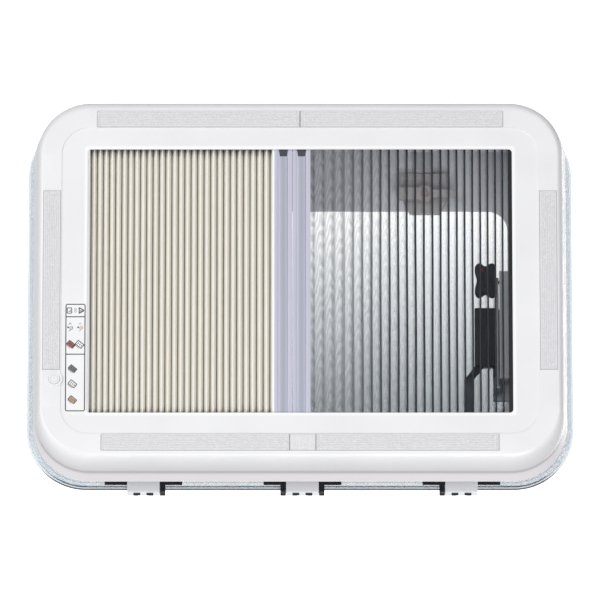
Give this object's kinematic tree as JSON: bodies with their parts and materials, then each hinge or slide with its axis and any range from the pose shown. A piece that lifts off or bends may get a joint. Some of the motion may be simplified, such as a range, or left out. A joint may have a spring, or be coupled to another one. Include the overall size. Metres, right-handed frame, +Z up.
{
  "type": "roof vent cover",
  "caption": "Hinged dome roof window with friction stays and turn latches, over a lit room-side trim that holds a pleated blackout blind and a pleated insect screen.",
  "frame": {"origin": "centre of the roof cut-out on the roof's outer surface, where the gasket seats", "axes": "+Z up to the sky as installed, +X along the long side from the blackout blind to the insect screen, +Y towards the hinges"},
  "size_m": [0.796, 0.5815, 0.1658],
  "materials": {
    "trim_white": "satin moulded ABS",
    "frame_grey": "fine-grained moulded ABS",
    "reveal_dark": "dark grey matt",
    "gasket_foam": "closed-cell foam",
    "seal_rubber": "EPDM rubber",
    "pane_outer": "clear tinted acrylic",
    "pane_inner": "clear acrylic",
    "hinge_aluminium": "satin anodised",
    "hinge_black": "black nylon",
    "steel_plated": "zinc plated",
    "stay_black": "black nylon",
    "stay_steel": "dark plated",
    "latch_black": "black moulded",
    "latch_red": "red moulded",
    "strip_cover": "prismatic clear diffuser",
    "light_board": "white circuit board with yellow chips",
    "driver_black": "matt",
    "switch_white": "gloss",
    "label_film": "printed film",
    "rail_white": "extruded",
    "profile_dark": "dark coated",
    "bar_aluminium": "satin anodised",
    "slider_grey": "dark grey acetal",
    "blind_fabric": "cream pleated blackout",
    "screen_fabric": "dark grey pleated mesh"
  },
  "bodies": {
    "frame": {"roof_gasket": "gasket_foam", "outer_frame": "frame_grey", "lid_seal": "seal_rubber", "interior_trim": "trim_white", "cassette_frame": "rail_white", "rail_front": "rail_white", "rail_rear": "rail_white", "blind_end_profile": "rail_white", "screen_end_profile": "profile_dark", "light_boards_front": "light_board", "light_boards_rear": "light_board", "light_board_left": "light_board", "light_board_right": "light_board", "light_cover_front_left": "strip_cover", "light_cover_front_right": "strip_cover", "light_cover_rear_left": "strip_cover", "light_cover_rear_right": "strip_cover", "light_cover_left": "strip_cover", "light_cover_right": "strip_cover", "light_joint_cover": "strip_cover", "light_driver": "driver_black", "switch_bezel": "switch_white", "operating_label": "label_film", "clamp_screws": "steel_plated", "hinge_base_left": "hinge_black", "hinge_base_middle": "hinge_black", "hinge_base_right": "hinge_black", "hinge_pins": "steel_plated", "hinge_screws": "steel_plated", "latch_keepers": "frame_grey", "stay_track_left": "stay_black", "stay_track_right": "stay_black"},
    "lid": {"outer_dome": "pane_outer", "inner_dome": "pane_inner", "lid_frame": "reveal_dark", "hinge_leaf_left": "hinge_aluminium", "hinge_leaf_middle": "hinge_aluminium", "hinge_leaf_right": "hinge_aluminium", "leaf_rivets": "steel_plated", "stay_bracket_left": "stay_black", "stay_bracket_right": "stay_black", "stay_rivets": "steel_plated", "latch_base_left": "latch_black", "latch_base_right": "latch_black"},
    "stay_left": {"stay_arm_left": "stay_steel", "stay_knob_left": "stay_black"},
    "stay_right": {"stay_arm_right": "stay_steel", "stay_knob_right": "stay_black"},
    "latch_left": {"latch_lever_left": "latch_black"},
    "latch_right": {"latch_lever_right": "latch_black"},
    "latch_push_left": {"latch_button_left": "latch_red"},
    "latch_push_right": {"latch_button_right": "latch_red"},
    "blind": {"blind_pull_bar": "bar_aluminium", "blind_sliders": "slider_grey", "blind_fabric_clip": "trim_white", "blackout_blind": "blind_fabric"},
    "screen": {"screen_pull_bar": "bar_aluminium", "screen_sliders": "slider_grey", "insect_screen": "screen_fabric"},
    "switch_push": {"switch_button": "switch_white"}
  },
  "joints": [
    {"name": "lid_hinge", "type": "hinge", "parent": "frame", "child": "lid", "pos_m": [0, 0.289, 0.01], "axis": [-1, 0, 0], "range_deg": [0, 55]},
    {"name": "stay_pivot_left", "type": "hinge", "parent": "lid", "child": "stay_left", "pos_m": [-0.288, 0.129, 0.01], "axis": [-1, 0, 0], "range_deg": [-110, 0]},
    {"name": "latch_turn_left", "type": "hinge", "parent": "lid", "child": "latch_left", "pos_m": [-0.183, -0.165, 0], "axis": [0, 0, 1], "range_deg": [0, 90]},
    {"name": "latch_push_left", "type": "slide", "parent": "latch_left", "child": "latch_push_left", "axis": [0, 0, 1], "range_m": [0, 0.003], "stiffness_N_per_m": 300, "springref_m": -0.003},
    {"name": "stay_pivot_right", "type": "hinge", "parent": "lid", "child": "stay_right", "pos_m": [0.288, 0.129, 0.01], "axis": [-1, 0, 0], "range_deg": [-110, 0]},
    {"name": "latch_turn_right", "type": "hinge", "parent": "lid", "child": "latch_right", "pos_m": [0.183, -0.165, 0], "axis": [0, 0, -1], "range_deg": [0, 90]},
    {"name": "latch_push_right", "type": "slide", "parent": "latch_right", "child": "latch_push_right", "axis": [0, 0, 1], "range_m": [0, 0.003], "stiffness_N_per_m": 300, "springref_m": -0.003},
    {"name": "blind_slide", "type": "slide", "parent": "frame", "child": "blind", "axis": [1, 0, 0], "range_m": [-0.225, 0], "deforming": ["blackout_blind"]},
    {"name": "screen_slide", "type": "slide", "parent": "frame", "child": "screen", "axis": [1, 0, 0], "range_m": [0, 0.245], "deforming": ["insect_screen"]},
    {"name": "switch_push", "type": "slide", "parent": "frame", "child": "switch_push", "axis": [0, 0, 1], "range_m": [0, 0.0015], "stiffness_N_per_m": 800, "springref_m": -0.001}
  ],
  "couplings": [
    {"joint": "stay_pivot_left", "follows": "lid_hinge", "ratio": -2},
    {"joint": "stay_pivot_right", "follows": "lid_hinge", "ratio": -2}
  ]
}
